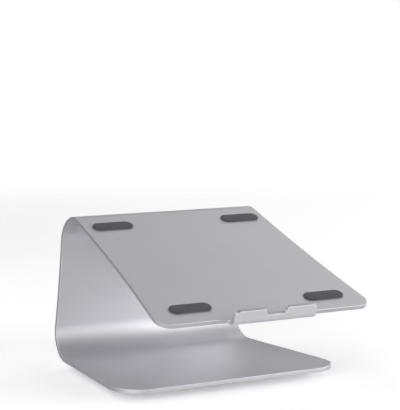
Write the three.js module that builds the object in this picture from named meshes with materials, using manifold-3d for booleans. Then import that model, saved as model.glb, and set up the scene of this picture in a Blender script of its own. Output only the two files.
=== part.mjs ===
// Laptop stand: one bent aluminium plate on a low ball-bearing swivel.
// Millimetres, +Z up, the lip faces -Y. The origin is on the floor, on the swivel's axis.
import * as THREE from 'three';
import { mergeVertices } from 'three/addons/utils/BufferGeometryUtils.js';
import Module from 'manifold-3d';

const wasm = await Module();
wasm.setup();

// ---- The bent plate, followed from the front of the base to the tip of the lip ----
const PLATE_T = 4.4;
const BASE_LEN = 156;             // flat length of the base, up to the lower bend
const LOWER_BEND_R = 26.5;         // inner radius between base and neck
const NECK_LEAN = 4.8;            // degrees that the neck leans towards the front
const NECK_LEN = 88.5;             // flat length of the neck
const UPPER_BEND_R = 26;          // inner radius between neck and tray
const TRAY_TILT = 20.1;           // degrees, the tray's slope
const TRAY_LEN = 210;             // flat length of the tray, up to the lip's bend
const LIP_BEND_R = 1.8;            // inner radius at the lip's root
const LIP_RISE = 11.8;            // from the tray's top face to the lip's tip

// ---- Outline of the plate before it is bent ----
const WAIST_HALF = 103.7;         // half width at the narrowest place
const WAIST_AT = 318;             // distance along the plate of the narrowest place
const SIDE_R = 1850;              // radius of the long hollow sides
const BASE_STRAIGHT = 125;        // the base's sides are straight up to here
const BASE_CORNER_R = 34;
const TRAY_CORNER_R = 16;
const TRAY_EDGE_BACK = 2.2;       // the tray's front edge stops this far before the lip's bend
const LIP_HALF = 45.4;             // half width of the lip
const LIP_ROOT_R = 4;             // fillet between the tray's front edge and the lip
const LIP_CORNER_R = 6.5;
const NOTCH_HALF = 11.5;          // finger notch in the lip
const NOTCH_DEPTH = 6;
const NOTCH_CORNER_R = 3.5;
const NOTCH_MOUTH_R = 2;          // rounding where the notch meets the lip's tip
const CABLE_HOLE_R = 19;
const CABLE_HOLE_UP = 46;         // hole's centre, along the neck from the lower bend

// ---- Rubber pads ----
const PAD_GAP = 0.3;              // clearance between a pad and the plate
const TRAY_PAD_LEN = 44;
const TRAY_PAD_WIDTH = 14;
const TRAY_PAD_T = 1.5;
const TRAY_PAD_X = 74;            // pads' centres, to each side
const TRAY_PAD_FRONT = 26;        // front pads' centres, behind the lip's bend
const TRAY_PAD_REAR = 192;        // rear pads' centres, behind the lip's bend
const LIP_PAD_T = 1;
const LIP_PAD_HEIGHT = 6.5;
const LIP_PAD_MARGIN = 4;         // from the pad to the notch and to the lip's end

// ---- Swivel ----
const SWIVEL_BACK = 92;           // swivel axis behind the base's front edge
const MAT_R = 58;
const MAT_T = 1.6;
const DISC_R = 62;
const DISC_T = 2.4;
const DISC_CHAMFER = 0.6;
const RACE_IN_R = 39;
const RACE_OUT_R = 56;
const RACE_T = 1.6;
const BALL_R = 1.6;
const BALL_COUNT = 16;
const BALL_PITCH_R = 51;
const BALL_PLAY = 0.1;            // between a ball and each race
const GROOVE_DEPTH = 0.6;
const GROOVE_EASE = 0.4;          // how much larger the groove's radius is than the ball's
const CAGE_T = 1.2;
const CAGE_HALF = 3.2;            // half width of the cage's ring
const CAGE_PLAY = 0.35;           // between a ball and its pocket

// ---- Fasteners ----
const FIT = 0.3;                  // clearance around shanks and bushings
const SCREW_COUNT = 4;
const SCREW_PITCH_R = 43.5;
const SCREW_SHANK_R = 1.4;
const SCREW_HEAD_R = 2.6;
const SCREW_HEAD_T = 1.2;
const SCREW_REACH_UP = 3;         // thread length in the plate
const SOCKET_R = 1;               // hexagon socket in a screw's head
const SOCKET_DEPTH = 0.7;
const ACCESS_R = 3.6;             // holes through which the upper screws are driven
const PIVOT_SHANK_R = 4;
const PIVOT_THREAD_R = 2.4;
const PIVOT_THREAD_LEN = 3;
const PIVOT_HEAD_R = 7;
const PIVOT_HEAD_T = 1;
const PIVOT_HEAD_ROOM = 1;        // clearance round the pivot bolt's head
const PIVOT_SOCKET_R = 2;
const PIVOT_SOCKET_DEPTH = 0.6;
const BUSHING_WALL = 2;
const BUSHING_FLANGE_R = 10;
const BUSHING_FLANGE_T = 0.8;
const SPACER_WALL = 3;

// ---- Heights that follow ----
const DISC_Z = MAT_T;
const LOWER_RACE_Z = DISC_Z + DISC_T;
const LOWER_RACE_TOP = LOWER_RACE_Z + RACE_T;
const BALL_Z = LOWER_RACE_TOP - GROOVE_DEPTH + BALL_PLAY + BALL_R;
const UPPER_RACE_Z = BALL_Z + BALL_R + BALL_PLAY - GROOVE_DEPTH;
const PLATE_Z = UPPER_RACE_Z + RACE_T;
const GROOVE_R = BALL_R + GROOVE_EASE;

const ROUND_STEPS = 48;           // facets round a large ring
const HOLE_STEPS = 16;
const CUT_PAST = 1;               // cutting tools run this far past the faces

const aluminium = { color: 0xb9b8be, roughness: 0.42, metalness: 0.9 };
const rubber = { color: 0x3a3b3e, roughness: 0.85, metalness: 0 };
const steel = { color: 0x9fa2a6, roughness: 0.35, metalness: 1 };
const nylon = { color: 0xe6e3da, roughness: 0.6, metalness: 0 };

const radians = THREE.MathUtils.degToRad;
const stand = new THREE.Group();

// ---- Helpers ----

function solidOf(geometry) {
  const bare = geometry.clone();
  bare.deleteAttribute('normal');
  bare.deleteAttribute('uv');
  const merged = mergeVertices(bare, 1e-4);
  const mesh = new wasm.Mesh({
    numProp: 3,
    vertProperties: new Float32Array(merged.attributes.position.array),
    triVerts: new Uint32Array(merged.index.array),
  });
  return new wasm.Manifold(mesh);
}

function geometryOf(solid) {
  const mesh = solid.getMesh();
  const geometry = new THREE.BufferGeometry();
  geometry.setAttribute('position', new THREE.BufferAttribute(mesh.vertProperties, 3));
  geometry.setIndex(new THREE.BufferAttribute(mesh.triVerts, 1));
  geometry.computeVertexNormals();
  return geometry;
}

function cutAway(geometry, tools) {
  let solid = solidOf(geometry);
  for (const tool of tools) {
    solid = solid.subtract(solidOf(tool));
  }
  return geometryOf(solid);
}

function addMesh(name, geometry, finish, parent = stand) {
  const mesh = new THREE.Mesh(geometry, new THREE.MeshStandardMaterial(finish));
  mesh.name = name;
  parent.add(mesh);
  return mesh;
}

// A turned piece about Z from [radius, height] points.
function turned(points, steps = ROUND_STEPS) {
  const profile = points.map(([r, z]) => new THREE.Vector2(r, z));
  return new THREE.LatheGeometry(profile, steps).rotateX(Math.PI / 2);
}

// An upright cylinder from height z0 to z1.
function post(radius, z0, z1, x = 0, y = 0, steps = HOLE_STEPS) {
  const geometry = new THREE.CylinderGeometry(radius, radius, z1 - z0, steps);
  return geometry.rotateX(Math.PI / 2).translate(x, y, (z0 + z1) / 2);
}

function roundPattern(count, radius, firstAngle = 0) {
  return Array.from({ length: count }, (_, i) => {
    const angle = firstAngle + (i * 2 * Math.PI) / count;
    return [radius * Math.cos(angle), radius * Math.sin(angle)];
  });
}

// ---- The plate's path: straight runs and bends in the plane X = 0 ----

const NECK_HEADING = radians(90 + NECK_LEAN);
const TRAY_HEADING = radians(180 + TRAY_TILT);
const LIP_TURN = radians(-90);
const HALF_T = PLATE_T / 2;
const LOWER_BEND_LEN = (LOWER_BEND_R + HALF_T) * NECK_HEADING;
const UPPER_BEND_LEN = (UPPER_BEND_R + HALF_T) * (TRAY_HEADING - NECK_HEADING);
const LIP_BEND_LEN = (LIP_BEND_R + HALF_T) * Math.abs(LIP_TURN);
const runs = [
  { length: BASE_LEN, turn: 0 },
  { length: LOWER_BEND_LEN, turn: NECK_HEADING },
  { length: NECK_LEN, turn: 0 },
  { length: UPPER_BEND_LEN, turn: TRAY_HEADING - NECK_HEADING },
  { length: TRAY_LEN, turn: 0 },
  { length: LIP_BEND_LEN, turn: LIP_TURN },
  { length: LIP_RISE - LIP_BEND_R, turn: 0 },
];
const NECK_AT = BASE_LEN + LOWER_BEND_LEN;
const TRAY_AT = NECK_AT + NECK_LEN + UPPER_BEND_LEN;
const LIP_BEND_AT = TRAY_AT + TRAY_LEN;
const TRAY_EDGE_AT = LIP_BEND_AT - TRAY_EDGE_BACK;
const LIP_AT = LIP_BEND_AT + LIP_BEND_LEN;
const TIP_AT = LIP_AT + LIP_RISE - LIP_BEND_R;

// Place and heading of the plate's middle surface at a distance along the plate.
function pathAt(distance) {
  let y = -SWIVEL_BACK;
  let z = PLATE_Z + HALF_T;
  let heading = 0;
  let left = distance;
  for (const run of runs) {
    const part = Math.min(left, run.length);
    const turn = run.turn * (part / run.length);
    const chord = turn === 0 ? part : (part * Math.sin(turn / 2)) / (turn / 2);
    y += chord * Math.cos(heading + turn / 2);
    z += chord * Math.sin(heading + turn / 2);
    heading += turn;
    left -= part;
    if (left <= 0) {
      break;
    }
  }
  return { y, z, heading };
}

// A frame on the plate: X across, Y along the path, Z out of the base's top face.
function frameAt(distance) {
  const { y, z, heading } = pathAt(distance);
  return new THREE.Matrix4().makeRotationX(heading).setPosition(0, y, z);
}

// ---- Outline: half width of the flat plate at a distance along it ----

function sideHalf(distance) {
  const bow = (d) => WAIST_HALF + (d - WAIST_AT) ** 2 / (2 * SIDE_R);
  if (distance >= BASE_STRAIGHT) {
    return bow(distance);
  }
  const slope = (BASE_STRAIGHT - WAIST_AT) / SIDE_R;
  return bow(BASE_STRAIGHT) + slope * (distance - BASE_STRAIGHT);
}

// How far a round corner pulls the side in, at a distance from the end.
function cornerPull(radius, fromEnd) {
  const reach = THREE.MathUtils.clamp(radius - fromEnd, 0, radius);
  return radius - Math.sqrt(radius ** 2 - reach ** 2);
}

function bodyHalf(distance) {
  const front = cornerPull(BASE_CORNER_R, distance);
  const tray = cornerPull(TRAY_CORNER_R, TRAY_EDGE_AT - distance);
  return sideHalf(distance) - front - tray;
}

function lipHalf(distance) {
  const root = cornerPull(LIP_ROOT_R, distance - TRAY_EDGE_AT);
  return LIP_HALF + root - cornerPull(LIP_CORNER_R, TIP_AT - distance);
}

// ---- Stations along the plate ----

function evenSteps(from, to, count) {
  return Array.from({ length: count }, (_, i) => from + ((to - from) * i) / count);
}

// Stations of a round corner, evenly spaced round its arc. They run away from the end.
function cornerSteps(end, radius, direction, count) {
  return Array.from({ length: count }, (_, i) => {
    const angle = ((i / count) * Math.PI) / 2;
    return end + direction * radius * (1 - Math.cos(angle));
  });
}

// A strip of the plate: a thin box, widened by the outline and bent along the path.
function bentStrip(stations, halfAt) {
  const last = stations.length - 1;
  const geometry = new THREE.BoxGeometry(2, last, PLATE_T, 1, last, 1);
  const position = geometry.attributes.position;
  const point = new THREE.Vector3();
  for (let i = 0; i < position.count; i += 1) {
    point.fromBufferAttribute(position, i);
    const distance = stations[Math.round(point.y + last / 2)];
    const x = point.x * halfAt(distance);
    point.set(x, 0, point.z).applyMatrix4(frameAt(distance));
    position.setXYZ(i, point.x, point.y, point.z);
  }
  return geometry;
}

// ---- The stand's body ----

const BEND_STEPS = 12;
const CORNER_STEPS = 8;
const SMALL_CORNER_STEPS = 5;
const SIDE_STEPS = 6;

function bodyStations() {
  return [
    ...cornerSteps(0, BASE_CORNER_R, 1, CORNER_STEPS),
    ...evenSteps(BASE_CORNER_R, BASE_LEN, 3),
    ...evenSteps(BASE_LEN, NECK_AT, BEND_STEPS),
    ...evenSteps(NECK_AT, NECK_AT + NECK_LEN, 4),
    ...evenSteps(NECK_AT + NECK_LEN, TRAY_AT, BEND_STEPS),
    ...evenSteps(TRAY_AT, TRAY_EDGE_AT - TRAY_CORNER_R, SIDE_STEPS),
    TRAY_EDGE_AT - TRAY_CORNER_R,
    ...cornerSteps(TRAY_EDGE_AT, TRAY_CORNER_R, -1, CORNER_STEPS).reverse(),
  ];
}

function lipStations() {
  const rootInside = 6;             // the lip's strip reaches this far into the tray
  const root = cornerSteps(TRAY_EDGE_AT, LIP_ROOT_R, 1, 7);
  const bend = evenSteps(LIP_BEND_AT, LIP_AT, 6);
  return [
    TRAY_EDGE_AT - rootInside,
    ...[...root, TRAY_EDGE_AT + LIP_ROOT_R, ...bend].sort((a, b) => a - b),
    LIP_AT,
    TIP_AT - LIP_CORNER_R,
    ...cornerSteps(TIP_AT, LIP_CORNER_R, -1, SMALL_CORNER_STEPS).reverse(),
  ];
}

function notchTool() {
  const top = NOTCH_DEPTH + CUT_PAST;
  const mouth = NOTCH_HALF + NOTCH_MOUTH_R;
  const mouthY = NOTCH_DEPTH - NOTCH_MOUTH_R;
  const floor = NOTCH_HALF - NOTCH_CORNER_R;
  const quarter = Math.PI / 2;
  const shape = new THREE.Shape();
  shape.moveTo(-mouth, top);
  shape.absarc(-mouth, mouthY, NOTCH_MOUTH_R, quarter, 0, true);
  shape.absarc(-floor, NOTCH_CORNER_R, NOTCH_CORNER_R, 2 * quarter, 3 * quarter);
  shape.absarc(floor, NOTCH_CORNER_R, NOTCH_CORNER_R, 3 * quarter, 4 * quarter);
  shape.absarc(mouth, mouthY, NOTCH_MOUTH_R, 2 * quarter, quarter, true);
  shape.lineTo(mouth, top);
  const depth = PLATE_T + 2 * CUT_PAST;
  const tool = new THREE.ExtrudeGeometry(shape, { depth, bevelEnabled: false, curveSegments: 5 });
  return tool.translate(0, -NOTCH_DEPTH, -depth / 2).applyMatrix4(frameAt(TIP_AT));
}

function cableHoleTool() {
  const tool = post(CABLE_HOLE_R, -HALF_T - CUT_PAST, HALF_T + CUT_PAST, 0, 0, ROUND_STEPS);
  return tool.applyMatrix4(frameAt(NECK_AT + CABLE_HOLE_UP));
}

const upperScrewPlaces = roundPattern(SCREW_COUNT, SCREW_PITCH_R);
const lowerScrewPlaces = roundPattern(SCREW_COUNT, SCREW_PITCH_R, Math.PI / SCREW_COUNT);

function threadHoleTools() {
  const deep = SCREW_REACH_UP + FIT;
  const screws = upperScrewPlaces.map(([x, y]) =>
    post(SCREW_SHANK_R + FIT, PLATE_Z - CUT_PAST, PLATE_Z + deep, x, y));
  const pivotDeep = PIVOT_THREAD_LEN + FIT;
  const pivot = post(PIVOT_THREAD_R + FIT, PLATE_Z - CUT_PAST, PLATE_Z + pivotDeep);
  return [...screws, pivot];
}

function addBody() {
  const body = solidOf(bentStrip(bodyStations(), bodyHalf));
  const lip = solidOf(bentStrip(lipStations(), lipHalf));
  const whole = geometryOf(body.add(lip));
  const cut = cutAway(whole, [notchTool(), cableHoleTool(), ...threadHoleTools()]);
  addMesh('stand_body', cut, aluminium);
}

// ---- Rubber pads on the tray and behind the lip ----

// A flat pad with round ends, lying in XY on Z = 0.
function padGeometry(length, width, thickness) {
  const r = Math.min(length, width) / 2;
  const shape = new THREE.Shape();
  shape.absarc(length / 2 - r, 0, r, -Math.PI / 2, Math.PI / 2);
  shape.absarc(-length / 2 + r, 0, r, Math.PI / 2, 1.5 * Math.PI);
  const options = { depth: thickness, bevelEnabled: false, curveSegments: 8 };
  return new THREE.ExtrudeGeometry(shape, options);
}

function addTrayPads() {
  const rows = [['front', TRAY_PAD_FRONT], ['rear', TRAY_PAD_REAR]];
  const sides = [['left', -1], ['right', 1]];
  for (const [row, back] of rows) {
    for (const [side, sign] of sides) {
      const geometry = padGeometry(TRAY_PAD_LEN, TRAY_PAD_WIDTH, TRAY_PAD_T);
      geometry.translate(sign * TRAY_PAD_X, 0, -HALF_T - PAD_GAP - TRAY_PAD_T);
      geometry.applyMatrix4(frameAt(LIP_BEND_AT - back));
      addMesh(`tray_pad_${row}_${side}`, geometry, rubber);
    }
  }
}

function addLipPads() {
  const inner = NOTCH_HALF + LIP_PAD_MARGIN;
  const outer = LIP_HALF - LIP_PAD_MARGIN;
  const middle = LIP_AT + (TIP_AT - LIP_AT) / 2;
  for (const [side, sign] of [['left', -1], ['right', 1]]) {
    const geometry = padGeometry(outer - inner, LIP_PAD_HEIGHT, LIP_PAD_T);
    geometry.translate((sign * (inner + outer)) / 2, 0, -HALF_T - PAD_GAP - LIP_PAD_T);
    geometry.applyMatrix4(frameAt(middle));
    addMesh(`lip_pad_${side}`, geometry, rubber);
  }
}

// ---- Swivel: foot mat, base disc, races, balls and cage ----

function addFoot() {
  addMesh('foot_mat', turned([[0, 0], [MAT_R, 0], [MAT_R, MAT_T], [0, MAT_T]]), rubber);
  const top = DISC_Z + DISC_T;
  const disc = turned([
    [0, DISC_Z],
    [DISC_R - DISC_CHAMFER, DISC_Z],
    [DISC_R, DISC_Z + DISC_CHAMFER],
    [DISC_R, top - DISC_CHAMFER],
    [DISC_R - DISC_CHAMFER, top],
    [0, top],
  ]);
  const through = (radius, [x, y]) => post(radius, DISC_Z - CUT_PAST, top + CUT_PAST, x, y);
  const headRoom = DISC_Z + PIVOT_HEAD_T + FIT;
  const tools = [
    ...upperScrewPlaces.map((place) => through(ACCESS_R, place)),
    ...lowerScrewPlaces.map((place) => through(SCREW_SHANK_R + FIT, place)),
    through(PIVOT_SHANK_R + BUSHING_WALL + 2 * FIT, [0, 0]),
    post(PIVOT_HEAD_R + PIVOT_HEAD_ROOM, DISC_Z - CUT_PAST, headRoom),
  ];
  addMesh('base_disc', cutAway(disc, tools), aluminium);
}

// Groove points across a race, from the inner edge to the outer one.
function groovePoints(faceZ, side) {
  const half = Math.sqrt(GROOVE_R ** 2 - (GROOVE_R - GROOVE_DEPTH) ** 2);
  const widest = Math.asin(half / GROOVE_R);
  const steps = 4;
  return Array.from({ length: steps + 1 }, (_, i) => {
    const angle = -widest + (2 * widest * i) / steps;
    const deep = GROOVE_R * Math.cos(angle) - (GROOVE_R - GROOVE_DEPTH);
    return [BALL_PITCH_R + GROOVE_R * Math.sin(angle), faceZ - side * deep];
  });
}

// A pressed ring with its groove on the face that side points to, +1 up or -1 down.
function raceGeometry(bottom, side) {
  const top = bottom + RACE_T;
  const face = side > 0 ? top : bottom;
  const back = side > 0 ? bottom : top;
  const outline = [
    [RACE_IN_R, back],
    [RACE_IN_R, face],
    ...groovePoints(face, side),
    [RACE_OUT_R, face],
    [RACE_OUT_R, back],
    [RACE_IN_R, back],
  ];
  return turned(side > 0 ? outline.reverse() : outline);
}

// The room that a countersunk screw takes, head on the face that side points to.
function countersinkTool(x, y, headFace, side) {
  const past = 0.01;
  const tip = headFace - side * (RACE_T + CUT_PAST);
  const neck = headFace - side * (SCREW_HEAD_T + FIT);
  const points = [
    [0, tip],
    [SCREW_SHANK_R + FIT, tip],
    [SCREW_SHANK_R + FIT, neck],
    [SCREW_HEAD_R + FIT, headFace + side * past],
    [0, headFace + side * past],
  ];
  const ordered = side > 0 ? points : points.reverse();
  return turned(ordered, HOLE_STEPS).translate(x, y, 0);
}

function addRaces() {
  const access = upperScrewPlaces.map(([x, y]) =>
    post(ACCESS_R, LOWER_RACE_Z - CUT_PAST, LOWER_RACE_TOP + CUT_PAST, x, y));
  const lowerTools = lowerScrewPlaces.map(([x, y]) => countersinkTool(x, y, LOWER_RACE_TOP, 1));
  const lower = cutAway(raceGeometry(LOWER_RACE_Z, 1), [...access, ...lowerTools]);
  addMesh('lower_race', lower, steel);
  const upperTools = upperScrewPlaces.map(([x, y]) => countersinkTool(x, y, UPPER_RACE_Z, -1));
  const upper = cutAway(raceGeometry(UPPER_RACE_Z, -1), upperTools);
  addMesh('upper_race', upper, steel);
}

function addBalls() {
  const places = roundPattern(BALL_COUNT, BALL_PITCH_R, Math.PI / BALL_COUNT);
  places.forEach(([x, y], i) => {
    const ball = addMesh(`ball_${i + 1}`, new THREE.SphereGeometry(BALL_R, 12, 6), steel);
    ball.position.set(x, y, BALL_Z);
  });
  const [low, high] = [BALL_Z - CAGE_T / 2, BALL_Z + CAGE_T / 2];
  const [inner, outer] = [BALL_PITCH_R - CAGE_HALF, BALL_PITCH_R + CAGE_HALF];
  const ring = turned([[inner, low], [outer, low], [outer, high], [inner, high], [inner, low]]);
  const pockets = places.map(([x, y]) =>
    post(BALL_R + CAGE_PLAY, low - CUT_PAST, high + CUT_PAST, x, y, 12));
  addMesh('ball_cage', cutAway(ring, pockets), nylon);
}

// ---- Pivot and screws ----

// A hexagonal cutter centred on Z = 0, for the socket in a head whose face is there.
function socketTool(radius, depth) {
  return new THREE.CylinderGeometry(radius, radius, 2 * depth, 6).rotateX(Math.PI / 2);
}

function addPivot() {
  const headZ = DISC_Z + FIT / 2;
  const shankZ = headZ + PIVOT_HEAD_T;
  const bolt = turned([
    [0, headZ],
    [PIVOT_HEAD_R, headZ],
    [PIVOT_HEAD_R, shankZ],
    [PIVOT_SHANK_R, shankZ],
    [PIVOT_SHANK_R, PLATE_Z],
    [PIVOT_THREAD_R, PLATE_Z],
    [PIVOT_THREAD_R, PLATE_Z + PIVOT_THREAD_LEN],
    [0, PLATE_Z + PIVOT_THREAD_LEN],
  ], 24);
  const socket = socketTool(PIVOT_SOCKET_R, PIVOT_SOCKET_DEPTH).translate(0, 0, headZ);
  addMesh('pivot_bolt', cutAway(bolt, [socket]), steel);

  const boreR = PIVOT_SHANK_R + FIT;
  const sleeveR = boreR + BUSHING_WALL;
  const sleeveZ = shankZ + FIT / 2;
  const flangeZ = DISC_Z + DISC_T;
  const flangeTop = flangeZ + BUSHING_FLANGE_T;
  const bushing = turned([
    [boreR, sleeveZ],
    [sleeveR, sleeveZ],
    [sleeveR, flangeZ],
    [BUSHING_FLANGE_R, flangeZ],
    [BUSHING_FLANGE_R, flangeTop],
    [boreR, flangeTop],
    [boreR, sleeveZ],
  ], 24);
  addMesh('pivot_bushing', bushing, nylon);

  const spacerZ = flangeTop + FIT;
  const spacerR = boreR + SPACER_WALL;
  const spacer = turned([
    [boreR, spacerZ],
    [spacerR, spacerZ],
    [spacerR, PLATE_Z],
    [boreR, PLATE_Z],
    [boreR, spacerZ],
  ], 24);
  addMesh('pivot_spacer', spacer, steel);
}

// A countersunk screw with its head's face at Z = 0 and its shank running up.
function screwGeometry(length) {
  const screw = turned([
    [0, 0],
    [SCREW_HEAD_R, 0],
    [SCREW_SHANK_R, SCREW_HEAD_T],
    [SCREW_SHANK_R, length],
    [0, length],
  ], 16);
  return cutAway(screw, [socketTool(SOCKET_R, SOCKET_DEPTH)]);
}

function addScrews() {
  upperScrewPlaces.forEach(([x, y], i) => {
    const length = RACE_T + SCREW_REACH_UP;
    const screw = addMesh(`upper_race_screw_${i + 1}`, screwGeometry(length), steel);
    screw.position.set(x, y, UPPER_RACE_Z);
  });
  lowerScrewPlaces.forEach(([x, y], i) => {
    const length = RACE_T + DISC_T - FIT;
    const screw = addMesh(`lower_race_screw_${i + 1}`, screwGeometry(length), steel);
    screw.rotation.x = Math.PI;
    screw.position.set(x, y, LOWER_RACE_TOP);
  });
}

addBody();
addTrayPads();
addLipPads();
addFoot();
addRaces();
addBalls();
addPivot();
addScrews();

export default stand;
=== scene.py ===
"""Looks of the laptop stand: a bent aluminium plate on a ball-bearing swivel. Metres, +Z up."""
import math

import bmesh
import bpy
from mathutils import Matrix, Vector


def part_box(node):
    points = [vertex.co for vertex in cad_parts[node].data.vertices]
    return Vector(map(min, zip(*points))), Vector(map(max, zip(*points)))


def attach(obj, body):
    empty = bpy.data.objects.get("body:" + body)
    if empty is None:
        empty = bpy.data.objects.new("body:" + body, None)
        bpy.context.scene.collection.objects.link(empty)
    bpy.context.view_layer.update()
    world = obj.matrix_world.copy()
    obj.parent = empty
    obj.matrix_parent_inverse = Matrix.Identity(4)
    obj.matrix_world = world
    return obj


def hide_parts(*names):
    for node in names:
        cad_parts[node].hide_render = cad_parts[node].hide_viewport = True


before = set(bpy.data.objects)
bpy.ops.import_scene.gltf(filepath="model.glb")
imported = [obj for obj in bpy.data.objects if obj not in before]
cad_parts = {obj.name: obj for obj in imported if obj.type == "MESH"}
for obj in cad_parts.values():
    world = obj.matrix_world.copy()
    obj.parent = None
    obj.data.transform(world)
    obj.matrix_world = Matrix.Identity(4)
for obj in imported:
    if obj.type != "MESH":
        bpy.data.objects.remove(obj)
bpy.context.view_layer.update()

MM = 0.001

# ---- The plate's sizes, as the CAD part has them ----
PLATE_T = 4.4 * MM
BASE_LEN = 156 * MM
LOWER_BEND_R = 26.5 * MM
NECK_LEAN = math.radians(4.8)
NECK_LEN = 88.5 * MM
UPPER_BEND_R = 26 * MM
TRAY_TILT = math.radians(20.1)
TRAY_LEN = 210 * MM
LIP_BEND_R = 1.8 * MM
LIP_RISE = 11.8 * MM
WAIST_HALF = 103.7 * MM
WAIST_AT = 318 * MM
SIDE_R = 1850 * MM
BASE_STRAIGHT = 125 * MM
BASE_CORNER_R = 34 * MM
TRAY_CORNER_R = 16 * MM
TRAY_EDGE_BACK = 2.2 * MM
LIP_HALF = 45.4 * MM
LIP_ROOT_R = 4 * MM
LIP_CORNER_R = 6.5 * MM
NOTCH_HALF = 11.5 * MM
NOTCH_DEPTH = 6 * MM
NOTCH_CORNER_R = 3.5 * MM
NOTCH_MOUTH_R = 2 * MM
CABLE_HOLE_R = 19 * MM
CABLE_HOLE_UP = 46 * MM
SWIVEL_BACK = 92 * MM
EDGE_R = 0.6 * MM                  # rounding of the plate's rims
EDGE_STEPS = 4
WELD = 1e-7                        # points closer than this count as one

# ---- Rubber pads ----
TRAY_PAD_LEN = 44 * MM
TRAY_PAD_WIDTH = 14 * MM
TRAY_PAD_RISE = 1.8 * MM
TRAY_PAD_X = 74 * MM
TRAY_PAD_BACK = {"front": 26 * MM, "rear": 192 * MM}
LIP_PAD_HEIGHT = 6.5 * MM
LIP_PAD_RISE = 1.3 * MM
LIP_PAD_MARGIN = 4 * MM
PAD_CLEAR = 0.02 * MM              # glue line under a pad
PAD_EDGE = 0.45                    # a pad's rounded edge, as a share of its rise
PAD_FOOT = 0.12                    # the small edge at its foot, as a share of that edge
PAD_CROWN = 0.06                   # how far its face is crowned, as a share of its rise
PAD_CROWN_REACH = 0.42             # where the crown is flat, as a share of its width

# ---- Swivel ----
DISC_R = 62 * MM
DISC_CHAMFER = 0.6 * MM
RACE_IN_R = 39 * MM
RACE_OUT_R = 56 * MM
BALL_R = 1.6 * MM
BALL_COUNT = 16
BALL_PITCH_R = 51 * MM
GROOVE_DEPTH = 0.6 * MM
GROOVE_R = 2 * MM
CAGE_HALF = 3.2 * MM
POCKET_R = 1.95 * MM
MAT_RIB_PITCH = 5 * MM
MAT_RIB_DEPTH = 0.45 * MM
MAT_GROOVE = 0.16                  # half of a groove's width, as a share of the pitch
MAT_GROOVE_FLOOR = 0.6             # its floor's width, as a share of its mouth's

# ---- Fasteners ----
FIT = 0.3 * MM
SCREW_COUNT = 4
SCREW_PITCH_R = 43.5 * MM
SCREW_SHANK_R = 1.4 * MM
SCREW_HEAD_R = 2.6 * MM
SCREW_HEAD_T = 1.2 * MM
SOCKET_R = 1 * MM
SOCKET_DEPTH = 0.7 * MM
THREAD_PITCH = 0.5 * MM
THREAD_DEPTH = 0.25 * MM
ACCESS_R = 3.6 * MM
PIVOT_SHANK_R = 4 * MM
PIVOT_THREAD_R = 2.4 * MM
PIVOT_HEAD_R = 7 * MM
PIVOT_HEAD_T = 1 * MM
PIVOT_HEAD_ROOM_R = 8 * MM
PIVOT_SOCKET_R = 2 * MM
PIVOT_SOCKET_DEPTH = 0.6 * MM
PIVOT_FACE_R = 2.6 * MM            # ring of the head's face round the socket
BUSHING_BORE_R = 4.3 * MM
BUSHING_SLEEVE_R = 6.3 * MM
BUSHING_HOLE_R = 6.6 * MM
BUSHING_FLANGE_R = 10 * MM
BUSHING_FLANGE_T = 0.8 * MM
SPACER_R = 7.3 * MM
EASE = 0.15 * MM                   # broken edge of a machined or moulded piece
RING_STEPS = 128
HOLE_STEPS = 32

FLOOR_R = 1.7                      # the floor fades into the white surround
FLOOR_FADE_FROM = 0.8
FLOOR_GLOW = 0.3                   # keeps the floor near white under the soft light
LIGHT_CENTRE = Vector((0, 0, 0.07))
LIGHT_REACH = 2.0

HALF_T = PLATE_T / 2
PLATE_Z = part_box("stand_body")[0].z


# ---- Camera ----

CAMERA_ANGLES = (-30.27, 6.98, 0.55)     # azimuth, elevation and roll, degrees
CAMERA_PLACE = (-0.79605, -1.37959, 0.3671)
CAMERA_LENS = 140.5


def add_camera():
    azimuth, elevation, roll = (math.radians(a) for a in CAMERA_ANGLES)
    back = Vector((math.sin(azimuth) * math.cos(elevation),
                   -math.cos(azimuth) * math.cos(elevation),
                   math.sin(elevation)))
    right = Vector((math.cos(azimuth), math.sin(azimuth), 0))
    up = back.cross(right)
    turned_right = right * math.cos(roll) + up * math.sin(roll)
    turned_up = up * math.cos(roll) - right * math.sin(roll)
    data = bpy.data.cameras.new("camera")
    data.sensor_width = 36
    data.lens = CAMERA_LENS
    data.clip_end = 20
    camera = bpy.data.objects.new("camera", data)
    axes = Matrix((turned_right, turned_up, back)).transposed().to_4x4()
    camera.matrix_world = Matrix.Translation(CAMERA_PLACE) @ axes
    bpy.context.scene.collection.objects.link(camera)
    bpy.context.scene.camera = camera


# ---- The plate's path ----

NECK_HEADING = math.pi / 2 + NECK_LEAN
TRAY_HEADING = math.pi + TRAY_TILT
LOWER_BEND_LEN = (LOWER_BEND_R + HALF_T) * NECK_HEADING
UPPER_BEND_LEN = (UPPER_BEND_R + HALF_T) * (TRAY_HEADING - NECK_HEADING)
LIP_BEND_LEN = (LIP_BEND_R + HALF_T) * math.pi / 2
RUNS = (
    (BASE_LEN, 0),
    (LOWER_BEND_LEN, NECK_HEADING),
    (NECK_LEN, 0),
    (UPPER_BEND_LEN, TRAY_HEADING - NECK_HEADING),
    (TRAY_LEN, 0),
    (LIP_BEND_LEN, -math.pi / 2),
    (LIP_RISE - LIP_BEND_R, 0),
)
NECK_AT = BASE_LEN + LOWER_BEND_LEN
UPPER_BEND_AT = NECK_AT + NECK_LEN
TRAY_AT = UPPER_BEND_AT + UPPER_BEND_LEN
LIP_BEND_AT = TRAY_AT + TRAY_LEN
TRAY_EDGE_AT = LIP_BEND_AT - TRAY_EDGE_BACK
LIP_AT = LIP_BEND_AT + LIP_BEND_LEN
TIP_AT = LIP_AT + LIP_RISE - LIP_BEND_R


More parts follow.
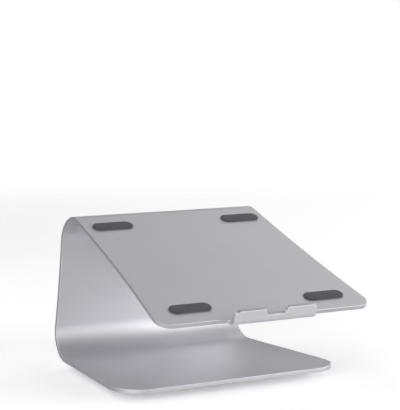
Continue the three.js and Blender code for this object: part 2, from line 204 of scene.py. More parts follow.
def path_at(distance):
    """Y, Z and heading of the plate's middle surface at a distance along the plate."""
    y, z, heading = -SWIVEL_BACK, PLATE_Z + HALF_T, 0.0
    left = distance
    for length, full_turn in RUNS:
        part = min(left, length)
        turn = full_turn * part / length
        chord = part * math.sin(turn / 2) / (turn / 2) if turn else part
        y += chord * math.cos(heading + turn / 2)
        z += chord * math.sin(heading + turn / 2)
        heading += turn
        left -= part
        if left <= 0:
            break
    return y, z, heading


def frame_at(distance):
    """A frame on the plate: X across, Y along the path, Z out of the base's top face."""
    y, z, heading = path_at(distance)
    return Matrix.Translation((0, y, z)) @ Matrix.Rotation(heading, 4, "X")


# ---- The flat outline ----

def side_half(distance):
    def bow(d):
        return WAIST_HALF + (d - WAIST_AT) ** 2 / (2 * SIDE_R)
    if distance >= BASE_STRAIGHT:
        return bow(distance)
    slope = (BASE_STRAIGHT - WAIST_AT) / SIDE_R
    return bow(BASE_STRAIGHT) + slope * (distance - BASE_STRAIGHT)


def corner_pull(radius, from_end):
    """How far a round corner pulls the side in, at a distance from the end."""
    reach = min(max(radius - from_end, 0), radius)
    return radius - math.sqrt(radius ** 2 - reach ** 2)


def even_steps(start, end, count):
    return [start + (end - start) * i / count for i in range(count)]


def corner_steps(end, radius, direction, count):
    """Distances round a corner, evenly spaced round its arc, away from the end."""
    return [end + direction * radius * (1 - math.cos(i / count * math.pi / 2))
            for i in range(count)]


def bend_steps(start, end, turn):
    """Distances round a bend, about three degrees apart."""
    return even_steps(start, end, max(8, round(abs(turn) / math.radians(3))))


def plate_stations():
    """Distances along the plate at which its faces are divided."""
    return (
        even_steps(BASE_CORNER_R, BASE_LEN, 6)
        + bend_steps(BASE_LEN, NECK_AT, NECK_HEADING)
        + even_steps(NECK_AT, UPPER_BEND_AT, 6)
        + bend_steps(UPPER_BEND_AT, TRAY_AT, TRAY_HEADING - NECK_HEADING)
        + even_steps(TRAY_AT, TRAY_EDGE_AT - TRAY_CORNER_R, 12)
        + [TRAY_EDGE_AT - TRAY_CORNER_R]
    )


def lip_stations():
    return even_steps(LIP_BEND_AT, LIP_AT, 18) + [LIP_AT]


def right_outline():
    """The right half of the flat outline as (x, distance), from the base's front edge round
    to the bottom of the notch."""
    points = []
    for d in corner_steps(0, BASE_CORNER_R, 1, 20):
        points.append((side_half(d) - corner_pull(BASE_CORNER_R, d), d))
    for d in plate_stations():
        points.append((side_half(d), d))
    for d in reversed(corner_steps(TRAY_EDGE_AT, TRAY_CORNER_R, -1, 14)):
        points.append((side_half(d) - corner_pull(TRAY_CORNER_R, TRAY_EDGE_AT - d), d))
    for d in corner_steps(TRAY_EDGE_AT, LIP_ROOT_R, 1, 10):
        points.append((LIP_HALF + corner_pull(LIP_ROOT_R, d - TRAY_EDGE_AT), d))
    for d in reversed(corner_steps(TIP_AT, LIP_CORNER_R, -1, 8)):
        points.append((LIP_HALF - corner_pull(LIP_CORNER_R, TIP_AT - d), d))
    for i in range(7):
        angle = (1 + i / 6) * math.pi / 2
        points.append((NOTCH_HALF + NOTCH_MOUTH_R + NOTCH_MOUTH_R * math.cos(angle),
                       TIP_AT - NOTCH_MOUTH_R + NOTCH_MOUTH_R * math.sin(angle)))
    centre_x = NOTCH_HALF - NOTCH_CORNER_R
    centre_d = TIP_AT - NOTCH_DEPTH + NOTCH_CORNER_R
    for i in range(9):
        angle = i / 8 * math.pi / 2
        points.append((centre_x + NOTCH_CORNER_R * math.cos(angle),
                       centre_d - NOTCH_CORNER_R * math.sin(angle)))
    return points


def flat_loop(bm, points):
    verts = [bm.verts.new((x, d, -HALF_T)) for x, d in points]
    return [bm.edges.new((a, b)) for a, b in zip(verts, verts[1:] + verts[:1])]


def cable_hole_points(count=64):
    centre = NECK_AT + CABLE_HOLE_UP
    turns = [2 * math.pi * i / count for i in range(count)]
    return [(CABLE_HOLE_R * math.cos(a), centre + CABLE_HOLE_R * math.sin(a)) for a in turns]


def face_meets_side(first, second):
    return abs(abs(first.normal.z) - abs(second.normal.z)) > 0.5


def flat_plate():
    """The cut blank: outline and cable hole, full thickness, with rounded rims."""
    bm = bmesh.new()
    right = right_outline()
    left = [(-x, d) for x, d in reversed(right)]
    edges = flat_loop(bm, right + left) + flat_loop(bm, cable_hole_points())
    bmesh.ops.triangle_fill(bm, use_beauty=True, use_dissolve=False, edges=edges)
    made = bmesh.ops.extrude_face_region(bm, geom=bm.faces[:])
    top = [v for v in made["geom"] if isinstance(v, bmesh.types.BMVert)]
    bmesh.ops.translate(bm, verts=top, vec=(0, 0, PLATE_T))
    bmesh.ops.recalc_face_normals(bm, faces=bm.faces[:])
    rims = [e for e in bm.edges if len(e.link_faces) == 2 and face_meets_side(*e.link_faces)]
    bmesh.ops.bevel(bm, geom=rims, offset=EDGE_R, offset_type="OFFSET", segments=EDGE_STEPS,
                    profile=0.5, affect="EDGES", clamp_overlap=False)
    for d in plate_stations()[1:] + lip_stations():
        everything = bm.verts[:] + bm.edges[:] + bm.faces[:]
        bmesh.ops.bisect_plane(bm, geom=everything, dist=WELD, plane_co=(0, d, 0),
                               plane_no=(0, 1, 0))
    return bm


def weighted_normals(bm):
    """A smooth normal for each vertex, led by its largest faces."""
    bm.normal_update()
    normals = []
    for vert in bm.verts:
        total = Vector()
        for face in vert.link_faces:
            total += face.normal * face.calc_area()
        normals.append(total.normalized())
    return normals


def bent_plate():
    bm = flat_plate()
    normals = weighted_normals(bm)
    # The rim share marks the cut edges that the plate's material darkens: partly duller cut metal,
    # partly painted shade over their glints.
    rim = [1 - abs(normal.z) for normal in normals]    # 1 on the cut edges, 0 on the faces
    turned_normals = []
    for vert, normal in zip(bm.verts, normals):
        place = frame_at(min(vert.co.y, TIP_AT))
        vert.co = place @ Vector((vert.co.x, 0, vert.co.z))
        turned_normals.append(place.to_3x3() @ normal)
    mesh = bpy.data.meshes.new("bent_plate")
    bm.to_mesh(mesh)
    bm.free()
    mesh.polygons.foreach_set("use_smooth", [True] * len(mesh.polygons))
    mesh.normals_split_custom_set_from_vertices(turned_normals)
    mesh.attributes.new("rim", "FLOAT", "POINT").data.foreach_set("value", rim)
    return mesh


# ---- Shells: stacked loops with flat faces between them ----

def circle(radius, x=0.0, y=0.0, steps=RING_STEPS):
    turns = (2 * math.pi * i / steps for i in range(steps))
    return [(x + radius * math.cos(a), y + radius * math.sin(a)) for a in turns]


def hexagon(radius):
    """A hexagon with as many points as a small circle, so that walls can join the two."""
    points = []
    for i in range(HOLE_STEPS):
        angle = 2 * math.pi * i / HOLE_STEPS
        off_corner = (angle + math.pi / 6) % (math.pi / 3) - math.pi / 6
        reach = radius * math.cos(math.pi / 6) / math.cos(math.pi / 6 - abs(off_corner))
        points.append((reach * math.cos(angle), reach * math.sin(angle)))
    return points


def capsule(length, width, inset, steps=16):
    """A flat outline with round ends, pulled in by inset."""
    radius = width / 2
    points = []
    ends_of_capsule = ((length / 2 - radius, -math.pi / 2), (radius - length / 2, math.pi / 2))
    for centre, start in ends_of_capsule:
        for i in range(steps + 1):
            angle = start + math.pi * i / steps
            points.append((centre + (radius - inset) * math.cos(angle),
                           (radius - inset) * math.sin(angle)))
    return points


def eased(profile, radius=EASE, steps=3, closed=False):
    """The profile with its sharp corners rounded."""
    ring = profile[-1:] + profile + profile[:1] if closed else profile
    points = [] if closed else [profile[0]]
    for before, corner, after in zip(ring, ring[1:], ring[2:]):
        middle = Vector(corner)
        back, on = Vector(before) - middle, Vector(after) - middle
        if back.angle(on) > math.radians(150):
            points.append(corner)
            continue
        reach = min(radius, 0.4 * back.length, 0.4 * on.length)
        for i in range(steps + 1):
            t = i / steps
            toward_back = back.normalized() * reach * (1 - t) ** 2
            toward_on = on.normalized() * reach * t ** 2
            points.append(tuple(middle + toward_back + toward_on))
    return points if closed else points + [profile[-1]]


class Shell:
    """Collects loops, walls and flat faces into one closed mesh."""

    def __init__(self):
        self.bm = bmesh.new()

    def loop(self, points, z):
        return [self.bm.verts.new((x, y, z)) for x, y in points]

    def wall(self, loops):
        for low, high in zip(loops, loops[1:]):
            for quad in zip(low, low[1:] + low[:1], high[1:] + high[:1], high):
                self.bm.faces.new(quad)
        return loops[0], loops[-1]

    def turn(self, profile, x=0.0, y=0.0, steps=RING_STEPS, closed=False):
        """A turned wall through (radius, height) points. Gives its first and last loops."""
        loops = [self.loop(circle(r, x, y, steps), z) for r, z in profile]
        if closed:
            loops.append(loops[0])
        return self.wall(loops)

    def flat(self, *loops):
        """A flat face inside the first loop, with the others as holes."""
        pairs = [pair for loop in loops for pair in zip(loop, loop[1:] + loop[:1])]
        edges = [self.bm.edges.get(pair) or self.bm.edges.new(pair) for pair in pairs]
        bmesh.ops.triangle_fill(self.bm, use_beauty=True, use_dissolve=False, edges=edges)

    def mesh(self, name):
        bmesh.ops.recalc_face_normals(self.bm, faces=self.bm.faces[:])
        mesh = bpy.data.meshes.new(name)
        self.bm.to_mesh(mesh)
        self.bm.free()
        mesh.polygons.foreach_set("use_smooth", [True] * len(mesh.polygons))
        mesh.set_sharp_from_angle(angle=math.radians(40))
        return mesh


def round_pattern(count, radius, first=0.0):
    turns = (first + 2 * math.pi * i / count for i in range(count))
    return [(radius * math.cos(a), radius * math.sin(a)) for a in turns]


UPPER_SCREWS = round_pattern(SCREW_COUNT, SCREW_PITCH_R)
LOWER_SCREWS = round_pattern(SCREW_COUNT, SCREW_PITCH_R, math.pi / SCREW_COUNT)
BALL_PLACES = round_pattern(BALL_COUNT, BALL_PITCH_R, math.pi / BALL_COUNT)


def hole(shell, radius, low, high, x=0.0, y=0.0):
    """A through hole with broken edges. Gives its loops on the low and high faces."""
    inward = math.copysign(EASE, high - low)
    profile = [(radius + EASE, low), (radius, low + inward), (radius, high - inward),
               (radius + EASE, high)]
    return shell.turn(profile, x, y, HOLE_STEPS)


def ends(walls):
    """The first loops of some walls, and their last loops."""
    return [w[0] for w in walls], [w[1] for w in walls]


# ---- Pads ----

def pad_mesh(length, width, rise, name):
    """A moulded pad with a rounded edge and a slightly crowned face, standing on height 0."""
    edge, crown = PAD_EDGE * rise, PAD_CROWN * rise
    shell = Shell()
    stack = [(PAD_FOOT * edge, 0.0), (0.0, PAD_FOOT * edge)]
    for i in range(7):
        angle = i / 6 * math.pi / 2
        stack.append((edge * (1 - math.cos(angle)), rise - crown - edge * (1 - math.sin(angle))))
    deepest = PAD_CROWN_REACH * width
    for i in range(1, 6):
        across = i / 5
        stack.append((edge + (deepest - edge) * across, rise - crown * (1 - across) ** 2))
    loops = [shell.loop(capsule(length, width, inset), z) for inset, z in stack]
    first, last = shell.wall(loops)
    shell.flat(first)
    shell.flat(last)
    return shell.mesh(name)


def on_tray_side(distance, x):
    """A place on the face that the tray and the lip turn to the notebook."""
    lift = Matrix.Translation((x, 0, -HALF_T - PAD_CLEAR))
    return frame_at(distance) @ lift @ Matrix.Rotation(math.pi, 4, "X")


def add_pads(material):
    for row, back in TRAY_PAD_BACK.items():
        for side, sign in (("left", -1), ("right", 1)):
            name = f"tray_rest_{row}_{side}"
            mesh = pad_mesh(TRAY_PAD_LEN, TRAY_PAD_WIDTH, TRAY_PAD_RISE - PAD_CLEAR, name)
            place = on_tray_side(LIP_BEND_AT - back, sign * TRAY_PAD_X)
            add_piece(name, mesh, material, "pad_rubber", "stand", f"tray_pad_{row}_{side}",
                      place=place)
    inner, outer = NOTCH_HALF + LIP_PAD_MARGIN, LIP_HALF - LIP_PAD_MARGIN
    for side, sign in (("left", -1), ("right", 1)):
        name = f"lip_rest_{side}"
        mesh = pad_mesh(outer - inner, LIP_PAD_HEIGHT, LIP_PAD_RISE - PAD_CLEAR, name)
        place = on_tray_side((LIP_AT + TIP_AT) / 2, sign * (inner + outer) / 2)
        add_piece(name, mesh, material, "pad_rubber", "stand", f"lip_pad_{side}", place=place)


# ---- Swivel pieces ----

def disc_mesh():
    """The disc on the desk, with holes to reach the upper screws and for the lower ones."""
    low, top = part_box("base_disc")[0].z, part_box("base_disc")[1].z
    head_room = low + PIVOT_HEAD_T + FIT
    shell = Shell()
    rim = [(DISC_R - DISC_CHAMFER, low), (DISC_R, low + DISC_CHAMFER), (DISC_R, top - DISC_CHAMFER),
           (DISC_R - DISC_CHAMFER, top)]
    middle = [(PIVOT_HEAD_ROOM_R, low), (PIVOT_HEAD_ROOM_R, head_room), (BUSHING_HOLE_R, head_room),
              (BUSHING_HOLE_R, top)]
    walls = [shell.turn(eased(rim)), shell.turn(eased(middle))]
    walls += [hole(shell, ACCESS_R, low, top, x, y) for x, y in UPPER_SCREWS]
    walls += [hole(shell, SCREW_SHANK_R + FIT, low, top, x, y) for x, y in LOWER_SCREWS]
    under, over = ends(walls)
    shell.flat(*under)
    shell.flat(*over)
    return shell.mesh("turntable_disc")


def mat_mesh():
    """A moulded mat whose underside has round grip grooves."""
    low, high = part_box("foot_mat")
    outer = high.x
    profile = []
    radius = 1.5 * MAT_RIB_PITCH
    mouth = MAT_GROOVE * MAT_RIB_PITCH
    floor = MAT_GROOVE_FLOOR * mouth
    while radius < outer - MAT_RIB_PITCH / 2:
        profile += [(radius - mouth, low.z), (radius - floor, low.z + MAT_RIB_DEPTH),
                    (radius + floor, low.z + MAT_RIB_DEPTH), (radius + mouth, low.z)]
        radius += MAT_RIB_PITCH
    profile += [(outer, low.z), (outer, high.z), (outer - 4 * EASE, high.z)]
    shell = Shell()
    first, last = shell.turn(eased(profile, 2 * EASE))
    shell.flat(first)
    shell.flat(last)
    return shell.mesh("grip_mat")


def groove_profile(face, side):
    """Points across a ball groove. Side is 1 where the groove opens upwards, or -1."""
    half = math.acos(1 - GROOVE_DEPTH / GROOVE_R)
    points = []
    for i in range(17):
        angle = -half + 2 * half * i / 16
        deep = GROOVE_R * math.cos(angle) - (GROOVE_R - GROOVE_DEPTH)
        points.append((BALL_PITCH_R + GROOVE_R * math.sin(angle), face - side * deep))
    return points


def race_mesh(name, node, side, screws, access):
    """A ground ring with a ball groove in one face and countersunk holes inside the groove."""
    low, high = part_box(node)
    face, back = (high.z, low.z) if side > 0 else (low.z, high.z)
    step = side * EASE
    shell = Shell()
    inner = shell.turn([(RACE_IN_R + EASE, back), (RACE_IN_R, back + step),
                        (RACE_IN_R, face - step), (RACE_IN_R + EASE, face)])
    outer = shell.turn([(RACE_OUT_R - EASE, back), (RACE_OUT_R, back + step),
                        (RACE_OUT_R, face - step), (RACE_OUT_R - EASE, face)])
    groove = shell.turn(groove_profile(face, side))
    walls = [hole(shell, ACCESS_R, back, face, x, y) for x, y in access]
    sink = face - side * (SCREW_HEAD_T + FIT)
    for x, y in screws:
        profile = [(SCREW_SHANK_R + FIT, back), (SCREW_SHANK_R + FIT, sink),
                   (SCREW_HEAD_R + FIT, face)]
        walls.append(shell.turn(profile, x, y, HOLE_STEPS))
    at_back, at_face = ends(walls)
    shell.flat(outer[0], inner[0], *at_back)
    shell.flat(groove[0], inner[1], *at_face)
    shell.flat(outer[1], groove[1])
    return shell.mesh(name)


def cage_mesh():
    """A flat ring with a pocket for each ball."""
    low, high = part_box("ball_cage")
    inner, outer = BALL_PITCH_R - CAGE_HALF, BALL_PITCH_R + CAGE_HALF
    shell = Shell()
    outside = shell.turn([(outer - EASE, low.z), (outer, low.z + EASE), (outer, high.z - EASE),
                          (outer - EASE, high.z)])
    inside = shell.turn([(inner + EASE, low.z), (inner, low.z + EASE), (inner, high.z - EASE),
                         (inner + EASE, high.z)])
    walls = [outside, inside]
    walls += [hole(shell, POCKET_R, low.z, high.z, x, y) for x, y in BALL_PLACES]
    under, over = ends(walls)
    shell.flat(*under)
    shell.flat(*over)
    return shell.mesh("ball_spacer_ring")


def ball_mesh():
    bm = bmesh.new()
    bmesh.ops.create_icosphere(bm, subdivisions=4, radius=BALL_R)
    mesh = bpy.data.meshes.new("bearing_ball")
    bm.to_mesh(mesh)
    bm.free()
    mesh.polygons.foreach_set("use_smooth", [True] * len(mesh.polygons))
    return mesh


def thread_profile(radius, start, end):
    """Crests and roots of a thread, with a chamfered tip."""
    turns = round((end - start) / THREAD_PITCH) - 1
    points = []
    for i in range(turns):
        z = start + i * THREAD_PITCH
        points += [(radius, z), (radius - THREAD_DEPTH, z + THREAD_PITCH / 2)]
    points += [(radius, start + turns * THREAD_PITCH), (radius - THREAD_DEPTH, end)]
    return points


def socket_head(shell, outside, socket_r, depth, face):
    """Closes a head's face round a hexagon socket."""
    mouth = shell.loop(hexagon(socket_r), face)
    floor = shell.loop(hexagon(socket_r), face + depth)
    shell.wall([mouth, floor])
    shell.flat(outside, mouth)
    shell.flat(floor)


def screw_mesh(length):
    """A countersunk screw with its head's face at height 0 and its thread running up."""
    shell = Shell()
    profile = [(SCREW_HEAD_R - EASE, 0.0), (SCREW_HEAD_R, EASE), (SCREW_SHANK_R, SCREW_HEAD_T)]
    profile += thread_profile(SCREW_SHANK_R, SCREW_HEAD_T + THREAD_PITCH / 2, length)
    face, tip = shell.turn(profile, steps=HOLE_STEPS)
    socket_head(shell, face, SOCKET_R, SOCKET_DEPTH, 0.0)
    shell.flat(tip)
    return shell.mesh("race_screw")


def bolt_mesh():
    """A shoulder bolt, standing in its place with its head down."""
    low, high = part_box("pivot_bolt")
    under_head = low.z + PIVOT_HEAD_T
    shell = Shell()
    profile = [(PIVOT_HEAD_R - 2 * EASE, low.z), (PIVOT_HEAD_R, low.z + 2 * EASE),
               (PIVOT_HEAD_R, under_head - EASE), (PIVOT_HEAD_R - EASE, under_head),
               (PIVOT_SHANK_R, under_head), (PIVOT_SHANK_R, PLATE_Z - EASE),
               (PIVOT_SHANK_R - EASE, PLATE_Z)]
    profile += thread_profile(PIVOT_THREAD_R, PLATE_Z, high.z)
    face, tip = shell.turn(profile, steps=HOLE_STEPS * 2)
    inner = shell.loop(circle(PIVOT_FACE_R, steps=HOLE_STEPS), low.z)
    shell.flat(face, inner)
    hexagon_mouth = shell.loop(hexagon(PIVOT_SOCKET_R), low.z)
    hexagon_floor = shell.loop(hexagon(PIVOT_SOCKET_R), low.z + PIVOT_SOCKET_DEPTH)
    shell.wall([inner, hexagon_mouth, hexagon_floor])
    shell.flat(hexagon_floor)
    shell.flat(tip)
    return shell.mesh("shoulder_bolt")


def bushing_mesh():
    """A bushing with a flange on top, its profile turned into a closed ring."""
    low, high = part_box("pivot_bushing")
    flange = high.z - BUSHING_FLANGE_T
    profile = [(BUSHING_BORE_R, low.z), (BUSHING_SLEEVE_R, low.z), (BUSHING_SLEEVE_R, flange),
               (BUSHING_FLANGE_R, flange), (BUSHING_FLANGE_R, high.z), (BUSHING_BORE_R, high.z)]
    shell = Shell()
    shell.turn(eased(profile, closed=True), steps=HOLE_STEPS * 2, closed=True)
    return shell.mesh("flanged_bushing")


def spacer_mesh():
    low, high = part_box("pivot_spacer")
    profile = [(BUSHING_BORE_R, low.z), (SPACER_R, low.z), (SPACER_R, high.z),
               (BUSHING_BORE_R, high.z)]
    shell = Shell()
    shell.turn(eased(profile, closed=True), steps=HOLE_STEPS * 2, closed=True)
    return shell.mesh("spacer_tube")


def add_balls(material):
    mesh = ball_mesh()
    for i, (x, y) in enumerate(BALL_PLACES, start=1):
        low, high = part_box(f"ball_{i}")
        place = Matrix.Translation((x, y, (low.z + high.z) / 2))
        add_piece(f"bearing_ball_{i}", mesh, material, "ball_steel", "cage", f"ball_{i}",
                  place=place)


def add_screws(material):
    rows = (("upper", "stand", UPPER_SCREWS, 0), ("lower", "base", LOWER_SCREWS, math.pi))
    for row, body, places, turn in rows:
        low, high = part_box(f"{row}_race_screw_1")
        mesh = screw_mesh(high.z - low.z)
        head = low.z if row == "upper" else high.z
        for i, (x, y) in enumerate(places, start=1):
            place = Matrix.Translation((x, y, head)) @ Matrix.Rotation(turn, 4, "X")
            add_piece(f"{row}_race_fixing_{i}", mesh, material, "screw_steel", body,
                      f"{row}_race_screw_{i}", place=place)


def add_swivel():
    steel = ground_steel()
    nylon = moulded_nylon()
    screws = plated_screws()
    add_piece("turntable_disc", disc_mesh(), turned_aluminium(), "disc_aluminium", "base",
              "base_disc")
    add_piece("grip_mat", mat_mesh(), foot_rubber(), "foot_rubber", "base", "foot_mat")
    lower = race_mesh("lower_ball_race", "lower_race", 1, LOWER_SCREWS, UPPER_SCREWS)
    add_piece("lower_ball_race", lower, steel, "race_steel", "base", "lower_race")
    upper = race_mesh("upper_ball_race", "upper_race", -1, UPPER_SCREWS, [])
    add_piece("upper_ball_race", upper, steel, "race_steel", "stand", "upper_race")
    add_piece("ball_spacer_ring", cage_mesh(), nylon, "nylon", "cage", "ball_cage")
    add_balls(polished_steel())
    add_piece("shoulder_bolt", bolt_mesh(), screws, "screw_steel", "stand", "pivot_bolt")
    add_piece("flanged_bushing", bushing_mesh(), nylon, "nylon", "base", "pivot_bushing")
    add_piece("spacer_tube", spacer_mesh(), screws, "screw_steel", "stand", "pivot_spacer")
    add_screws(screws)


# ---- Materials ----

class Nodes:
    """A short way to write a node material."""

    def __init__(self, name):
        self.material = bpy.data.materials.new(name)
        self.material.use_nodes = True
        self.tree = self.material.node_tree
        self.shader = self.tree.nodes["Principled BSDF"]

    def join(self, source, target):
        """Sets an input to a value, or links it to another node's output."""
        if isinstance(source, bpy.types.NodeSocket):
            self.tree.links.new(source, target)
        else:
            target.default_value = source

    def add(self, kind, links=(), **values):
        node = self.tree.nodes.new(kind)
        for key, value in values.items():
            setattr(node, key, value)
        for socket, source in dict(links).items():
            self.join(source, node.inputs[socket])
        return node

    def feed(self, socket, source):
        self.join(source, self.shader.inputs[socket])

    def place(self):
        return self.add("ShaderNodeTexCoord").outputs["Object"]

    def grain(self, scale, detail):
        links = {"Vector": self.place(), "Scale": scale, "Detail": detail, "Roughness": 0.5}
        return self.add("ShaderNodeTexNoise", links).outputs["Fac"]

    def spread(self, value, low, high, from_low=0.3, from_high=0.7):
        links = {"Value": value, "From Min": from_low, "From Max": from_high,
                 "To Min": low, "To Max": high}
        return self.add("ShaderNodeMapRange", links).outputs["Result"]

    def round_marks(self, scale):
        """Fine noise that depends only on the distance from the piece's upright axis."""
        flat = self.add("ShaderNodeVectorMath", {0: self.place(), 1: (1, 1, 0)},
                        operation="MULTIPLY")
        radius = self.add("ShaderNodeVectorMath", {0: flat.outputs["Vector"]},
                          operation="LENGTH")
        links = {"W": radius.outputs["Value"], "Scale": scale, "Detail": 3.0}
        return self.add("ShaderNodeTexNoise", links, noise_dimensions="1D").outputs["Fac"]

    def mix(self, factor, first, second):
        """A mix of two colours. The sockets are the node's factor, A and B for colours."""
        links = dict(zip((0, 6, 7), (factor, first, second)))
        return self.add("ShaderNodeMix", links, data_type="RGBA").outputs[2]

    def bump(self, height, strength, distance):
        links = {"Height": height, "Strength": strength, "Distance": distance}
        return self.add("ShaderNodeBump", links).outputs["Normal"]


def anodised_plate():
    """Bead-blasted and anodised aluminium: even satin, a very fine grain, and darker cut edges,
    partly the duller cut metal and partly painted shade that tones down their glints.
    """
    m = Nodes("bead_blasted_aluminium")
    cloud = m.grain(9, 3)
    tone = m.mix(m.spread(cloud, 0, 1), (0.622, 0.616, 0.643, 1), (0.647, 0.641, 0.669, 1))
    rim = m.add("ShaderNodeAttribute", attribute_name="rim").outputs["Fac"]
    # Darker cut edges: partly duller cut metal, partly painted shade over the rims' glints and
    # highlights.
    m.feed("Base Color", m.mix(rim, tone, (0.508, 0.504, 0.526, 1)))
    fine = m.grain(2600, 2)
    m.feed("Roughness", m.spread(fine, 0.51, 0.59))
    m.feed("Metallic", 1.0)
    m.feed("Normal", m.bump(fine, 0.22, 0.00006))
    return m.material


def turned_aluminium():
    """Faced on a lathe: fine round tool marks under a clear anodised coat."""
    m = Nodes("turned_aluminium")
    marks = m.round_marks(5200)
    wide = m.round_marks(420)
    m.feed("Base Color", m.mix(m.spread(wide, 0, 1), (0.50, 0.50, 0.52, 1), (0.58, 0.58, 0.60, 1)))
    m.feed("Roughness", m.spread(marks, 0.26, 0.4))
    m.feed("Metallic", 1.0)
    m.feed("Normal", m.bump(marks, 0.35, 0.00004))
    return m.material


def ground_steel():
    """Bearing steel with grinding marks that run round the ring."""
    m = Nodes("ground_steel")
    marks = m.round_marks(9000)
    stain = m.grain(120, 3)
    m.feed("Base Color", m.mix(m.spread(stain, 0, 1), (0.42, 0.42, 0.43, 1), (0.52, 0.52, 0.52, 1)))
    m.feed("Roughness", m.spread(marks, 0.18, 0.34))
    m.feed("Metallic", 1.0)
    m.feed("Normal", m.bump(marks, 0.3, 0.00002))
    return m.material


def polished_steel():
    m = Nodes("polished_steel")
    haze = m.grain(900, 2)
    m.feed("Base Color", m.mix(m.spread(haze, 0, 1), (0.60, 0.60, 0.61, 1), (0.66, 0.66, 0.67, 1)))
    m.feed("Roughness", m.spread(haze, 0.05, 0.12))
    m.feed("Metallic", 1.0)
    return m.material


def plated_screws():
    """Zinc-plated steel: slightly cloudy, with a warm and a cool tone."""
    m = Nodes("plated_screws")
    cloud = m.grain(700, 3)
    m.feed("Base Color", m.mix(m.spread(cloud, 0, 1), (0.50, 0.50, 0.49, 1), (0.56, 0.57, 0.60, 1)))
    m.feed("Roughness", m.spread(cloud, 0.25, 0.38))
    m.feed("Metallic", 1.0)
    m.feed("Normal", m.bump(m.grain(4000, 2), 0.2, 0.00002))
    return m.material


def moulded_nylon():
    m = Nodes("moulded_nylon")
    cloud = m.grain(150, 3)
    m.feed("Base Color", m.mix(m.spread(cloud, 0, 1), (0.72, 0.69, 0.62, 1), (0.80, 0.78, 0.72, 1)))
    m.feed("Roughness", m.spread(m.grain(2500, 2), 0.42, 0.58))
    m.feed("Subsurface Weight", 0.25)
    m.feed("Subsurface Radius", (0.001, 0.0009, 0.0007))
    m.feed("Normal", m.bump(m.grain(3000, 2), 0.25, 0.00003))
    return m.material


def rubber(name, dark, light):
    """Moulded rubber: matt, with a fine spark-eroded texture and paler worn high spots."""
    m = Nodes(name)
    cloud = m.grain(60, 3)
    tone = m.mix(m.spread(cloud, 0, 1), dark, light)
    pits = m.add("ShaderNodeTexVoronoi", {"Vector": m.place(), "Scale": 2600}).outputs["Distance"]
    worn = m.add("ShaderNodeNewGeometry").outputs["Pointiness"]
    bright = tuple(min(1, 1.9 * c) for c in light[:3]) + (1,)
    m.feed("Base Color", m.mix(m.spread(worn, 0, 0.6, 0.52, 0.62), tone, bright))
    m.feed("Roughness", m.spread(m.grain(400, 2), 0.62, 0.8))
    m.feed("Sheen Weight", 0.12)
    m.feed("Sheen Roughness", 0.5)
    m.feed("Normal", m.bump(pits, 0.35, 0.00008))
    return m.material


def pad_rubber():
    return rubber("moulded_pad_rubber", (0.026, 0.027, 0.030, 1), (0.036, 0.037, 0.041, 1))


def foot_rubber():
    return rubber("moulded_foot_rubber", (0.020, 0.020, 0.021, 1), (0.030, 0.030, 0.031, 1))


# ---- Pieces ----

def add_piece(name, mesh, material, slot_name, body, *replaced, place=Matrix.Identity(4)):
    piece = bpy.data.objects.new(name, mesh)
    bpy.context.scene.collection.objects.link(piece)
    piece.matrix_world = place
    if not mesh.materials:
        mesh.materials.append(material)
    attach(piece, body)
    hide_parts(*replaced)


# ---- Stage ----

def add_floor(name, glow, height):
    """A wide, plain, pale floor that fades into the surround."""
    bm = bmesh.new()
    bmesh.ops.create_circle(bm, cap_ends=True, radius=FLOOR_R, segments=96)
    mesh = bpy.data.meshes.new(name)
    bm.to_mesh(mesh)
    bm.free()
    floor = bpy.data.objects.new(name, mesh)
    floor.location.z = height
    bpy.context.scene.collection.objects.link(floor)
    m = Nodes(name)
    m.feed("Base Color", (0.93, 0.93, 0.935, 1))
    m.feed("Roughness", 1.0)
    m.feed("Specular IOR Level", 0.0)
    m.feed("Emission Color", (1, 1, 1, 1))
    m.feed("Emission Strength", glow)
    radius = m.add("ShaderNodeVectorMath", {0: m.place()}, operation="LENGTH")
    m.feed("Alpha", m.spread(radius.outputs["Value"], 1, 0, FLOOR_FADE_FROM, FLOOR_R))
    mesh.materials.append(m.material)
    return floor


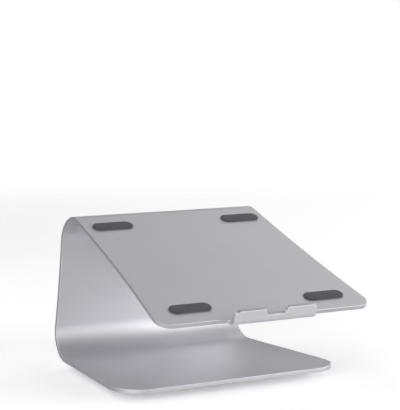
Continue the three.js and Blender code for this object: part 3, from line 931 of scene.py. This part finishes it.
def add_floors():
    """One floor that the camera sees, and one that throws light back on the stand."""
    seen = add_floor("seen_floor", FLOOR_GLOW, 0.0)
    seen.visible_diffuse = False
    seen.visible_glossy = False
    seen.visible_shadow = False
    bounce = add_floor("bounce_floor", 0.0, -0.5 * MM)
    bounce.visible_camera = False


def add_light(name, azimuth, elevation, size, power):
    """A soft box turned to the stand. Azimuth 0 is in front of the lip, 90 to its right."""
    around, up = math.radians(azimuth), math.radians(elevation)
    toward = Vector((math.sin(around) * math.cos(up), -math.cos(around) * math.cos(up),
                     math.sin(up)))
    data = bpy.data.lights.new(name, "AREA")
    data.shape = "RECTANGLE"
    data.size, data.size_y = size
    data.energy = power
    light = bpy.data.objects.new(name, data)
    light.location = LIGHT_CENTRE + LIGHT_REACH * toward
    light.rotation_mode = "QUATERNION"
    light.rotation_quaternion = (-toward).to_track_quat("-Z", "Y")
    light.visible_camera = False
    bpy.context.scene.collection.objects.link(light)


def add_surround():
    """White behind everything, which the camera sees and which lights nothing."""
    world = bpy.data.worlds.new("studio")
    world.use_nodes = True
    background = world.node_tree.nodes["Background"]
    background.inputs["Color"].default_value = (1, 1, 1, 1)
    background.inputs["Strength"].default_value = 1.0
    world.cycles_visibility.diffuse = False
    world.cycles_visibility.glossy = False
    bpy.context.scene.world = world


# Rings of soft boxes: elevation in degrees, size in metres, and the watts at each azimuth.
LIGHT_RINGS = {
    "strip": (4, (0.9, 0.26), {45: 4, 90: 4, 315: 2}),
    "low": (12, (0.95, 0.7), {30: 8.5, 60: 6, 90: 5, 120: 4, 270: 2, 300: 11, 330: 9.5}),
    "middle": (25, (0.95, 0.7), {45: 9, 270: 2, 315: 7.5}),
    "high": (45, (1.3, 1.3), {90: 4, 135: 5, 225: 11, 270: 3}),
}


def add_lights():
    for ring, (elevation, size, powers) in LIGHT_RINGS.items():
        for azimuth, power in powers.items():
            add_light(f"{ring}_{azimuth}", azimuth, elevation, size, power)


def main():
    bpy.context.scene.view_settings.view_transform = "Standard"
    add_camera()
    add_piece("bent_plate", bent_plate(), anodised_plate(), "anodised_plate", "stand", "stand_body")
    add_pads(pad_rubber())
    add_swivel()
    add_floors()
    add_surround()
    add_lights()


main()
